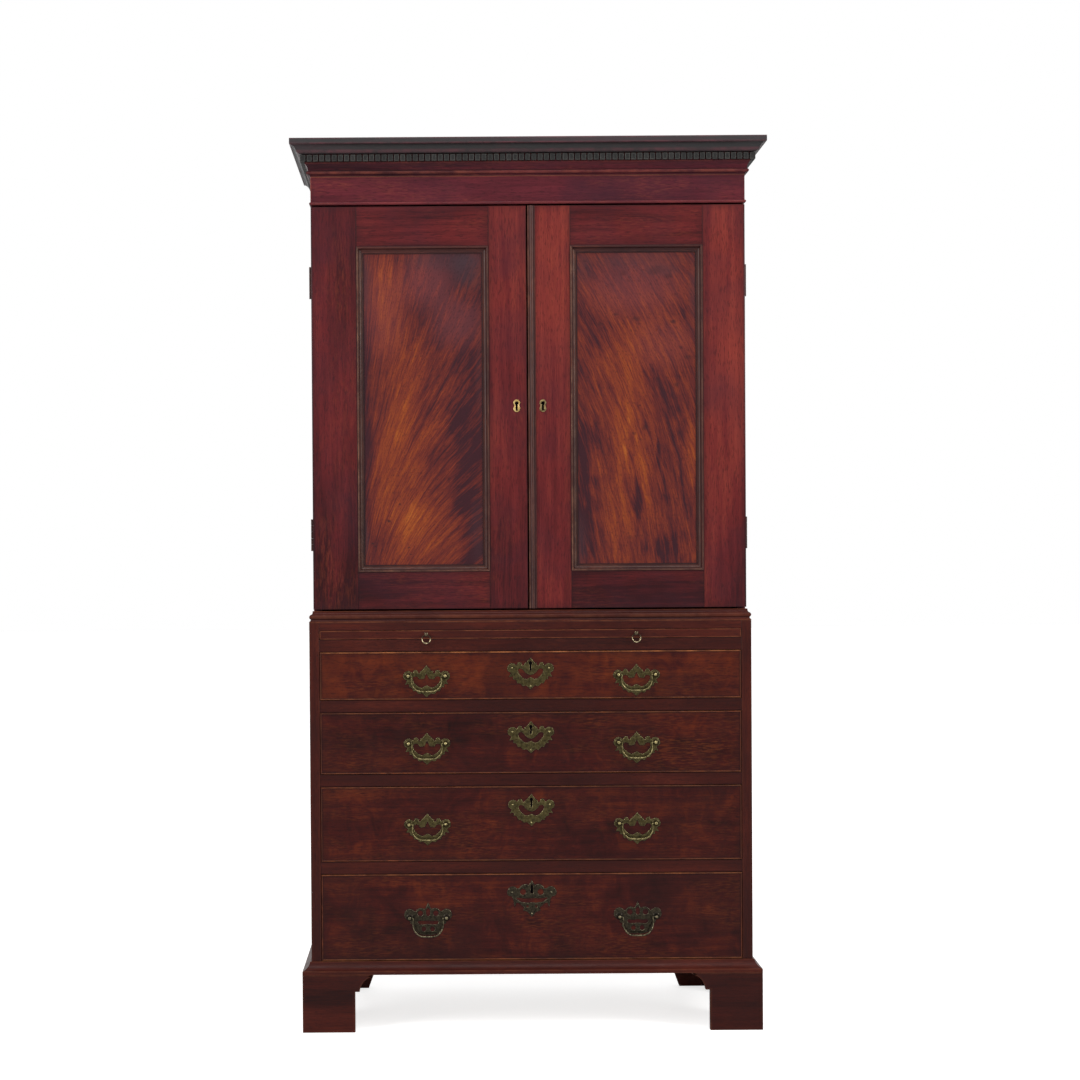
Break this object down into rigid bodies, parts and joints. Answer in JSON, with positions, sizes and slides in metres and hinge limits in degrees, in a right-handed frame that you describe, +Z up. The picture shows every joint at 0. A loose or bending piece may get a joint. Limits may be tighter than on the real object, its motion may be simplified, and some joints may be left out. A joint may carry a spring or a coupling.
{
  "type": "linen press",
  "caption": "Tall two-part linen press: cupboard with two panelled doors over trays, on a chest of long drawers with a brushing slide, cornice and bracket feet.",
  "frame": {"origin": "on the floor, under the middle of the overall box", "axes": "+Z up, the front with its doors and drawers faces -Y, +X to the right seen from the front"},
  "size_m": [1.128, 0.592, 2.122],
  "materials": {
    "upper_mahogany": "old mahogany, red-brown, French polished, grain and wear",
    "flame_mahogany": "flame-figured mahogany, orange-brown with dark streaks, polished",
    "dark_mahogany": "mahogany darkened almost black, red where rubbed",
    "lower_mahogany": "dark brown mahogany, polished, edges worn lighter",
    "oak": "unpolished oak",
    "pine": "unpolished pine, darkened by age",
    "aged_brass": "cast brass, aged to olive brown, bright on the edges",
    "iron": "dull iron"
  },
  "bodies": {
    "root": {"base_moulding": "lower_mahogany", "case_hinge_leaves": "aged_brass", "cornice_frame": "pine", "cornice_moulding": "dark_mahogany", "dentil_course": "dark_mahogany", "drawer_rails": "lower_mahogany", "dust_boards": "oak", "frieze": "upper_mahogany", "front_feet": "lower_mahogany", "hinge_pins": "iron", "linen_trays": "oak", "lower_back_boards": "pine", "lower_bottom_board": "oak", "lower_side_left": "lower_mahogany", "lower_side_right": "lower_mahogany", "lower_top_board": "lower_mahogany", "rear_feet": "lower_mahogany", "tray_runners": "oak", "upper_back_boards": "pine", "upper_bottom_board": "pine", "upper_plinth_strip": "upper_mahogany", "upper_side_left": "upper_mahogany", "upper_side_right": "upper_mahogany", "upper_top_board": "pine", "waist_moulding": "lower_mahogany"},
    "left_door": {"left_door_frame": "upper_mahogany", "left_door_hinge_leaves": "aged_brass", "left_door_lock": "aged_brass", "left_door_moulding": "upper_mahogany", "left_door_panel": "flame_mahogany"},
    "right_door": {"right_door_astragal": "upper_mahogany", "right_door_frame": "upper_mahogany", "right_door_hinge_leaves": "aged_brass", "right_door_lock": "aged_brass", "right_door_moulding": "upper_mahogany", "right_door_panel": "flame_mahogany"},
    "drawer_1": {"drawer_1_front": "lower_mahogany", "drawer_1_box": "oak", "drawer_1_brasses": "aged_brass"},
    "drawer_2": {"drawer_2_front": "lower_mahogany", "drawer_2_box": "oak", "drawer_2_brasses": "aged_brass"},
    "drawer_3": {"drawer_3_front": "lower_mahogany", "drawer_3_box": "oak", "drawer_3_brasses": "aged_brass"},
    "drawer_4": {"drawer_4_front": "lower_mahogany", "drawer_4_box": "oak", "drawer_4_brasses": "aged_brass"},
    "slide": {"slide_board": "lower_mahogany", "slide_ring_eyes": "aged_brass"},
    "drawer_1_bail_left": {"drawer_1_bail_left": "aged_brass"},
    "drawer_1_bail_right": {"drawer_1_bail_right": "aged_brass"},
    "drawer_2_bail_left": {"drawer_2_bail_left": "aged_brass"},
    "drawer_2_bail_right": {"drawer_2_bail_right": "aged_brass"},
    "drawer_3_bail_left": {"drawer_3_bail_left": "aged_brass"},
    "drawer_3_bail_right": {"drawer_3_bail_right": "aged_brass"},
    "drawer_4_bail_left": {"drawer_4_bail_left": "aged_brass"},
    "drawer_4_bail_right": {"drawer_4_bail_right": "aged_brass"},
    "slide_ring_left": {"slide_ring_left": "aged_brass"},
    "slide_ring_right": {"slide_ring_right": "aged_brass"}
  },
  "joints": [
    {"name": "left_door_hinge", "type": "hinge", "parent": "root", "child": "left_door", "pos_m": [-0.52, -0.2255, 1.4865], "axis": [0, 0, -1], "range_deg": [0, 110]},
    {"name": "right_door_hinge", "type": "hinge", "parent": "root", "child": "right_door", "pos_m": [0.52, -0.2255, 1.4865], "axis": [0, 0, 1], "range_deg": [0, 110]},
    {"name": "drawer_1_slide", "type": "slide", "parent": "root", "child": "drawer_1", "axis": [0, -1, 0], "range_m": [0, 0.38]},
    {"name": "drawer_2_slide", "type": "slide", "parent": "root", "child": "drawer_2", "axis": [0, -1, 0], "range_m": [0, 0.38]},
    {"name": "drawer_3_slide", "type": "slide", "parent": "root", "child": "drawer_3", "axis": [0, -1, 0], "range_m": [0, 0.38]},
    {"name": "drawer_4_slide", "type": "slide", "parent": "root", "child": "drawer_4", "axis": [0, -1, 0], "range_m": [0, 0.38]},
    {"name": "slide_pull", "type": "slide", "parent": "root", "child": "slide", "axis": [0, -1, 0], "range_m": [0, 0.28]},
    {"name": "drawer_1_bail_left_swing", "type": "hinge", "parent": "drawer_1", "child": "drawer_1_bail_left", "pos_m": [-0.248, -0.274, 0.848], "axis": [-1, 0, 0], "range_deg": [0, 110]},
    {"name": "drawer_1_bail_right_swing", "type": "hinge", "parent": "drawer_1", "child": "drawer_1_bail_right", "pos_m": [0.2525, -0.274, 0.848], "axis": [-1, 0, 0], "range_deg": [0, 110]},
    {"name": "drawer_2_bail_left_swing", "type": "hinge", "parent": "drawer_2", "child": "drawer_2_bail_left", "pos_m": [-0.248, -0.274, 0.687], "axis": [-1, 0, 0], "range_deg": [0, 110]},
    {"name": "drawer_2_bail_right_swing", "type": "hinge", "parent": "drawer_2", "child": "drawer_2_bail_right", "pos_m": [0.2525, -0.274, 0.687], "axis": [-1, 0, 0], "range_deg": [0, 110]},
    {"name": "drawer_3_bail_left_swing", "type": "hinge", "parent": "drawer_3", "child": "drawer_3_bail_left", "pos_m": [-0.248, -0.274, 0.494], "axis": [-1, 0, 0], "range_deg": [0, 110]},
    {"name": "drawer_3_bail_right_swing", "type": "hinge", "parent": "drawer_3", "child": "drawer_3_bail_right", "pos_m": [0.2525, -0.274, 0.494], "axis": [-1, 0, 0], "range_deg": [0, 110]},
    {"name": "drawer_4_bail_left_swing", "type": "hinge", "parent": "drawer_4", "child": "drawer_4_bail_left", "pos_m": [-0.248, -0.274, 0.271], "axis": [-1, 0, 0], "range_deg": [0, 110]},
    {"name": "drawer_4_bail_right_swing", "type": "hinge", "parent": "drawer_4", "child": "drawer_4_bail_right", "pos_m": [0.2525, -0.274, 0.271], "axis": [-1, 0, 0], "range_deg": [0, 110]},
    {"name": "slide_ring_left_swing", "type": "hinge", "parent": "slide", "child": "slide_ring_left", "pos_m": [-0.248, -0.268, 0.946], "axis": [-1, 0, 0], "range_deg": [0, 100]},
    {"name": "slide_ring_right_swing", "type": "hinge", "parent": "slide", "child": "slide_ring_right", "pos_m": [0.2525, -0.268, 0.946], "axis": [-1, 0, 0], "range_deg": [0, 100]}
  ]
}
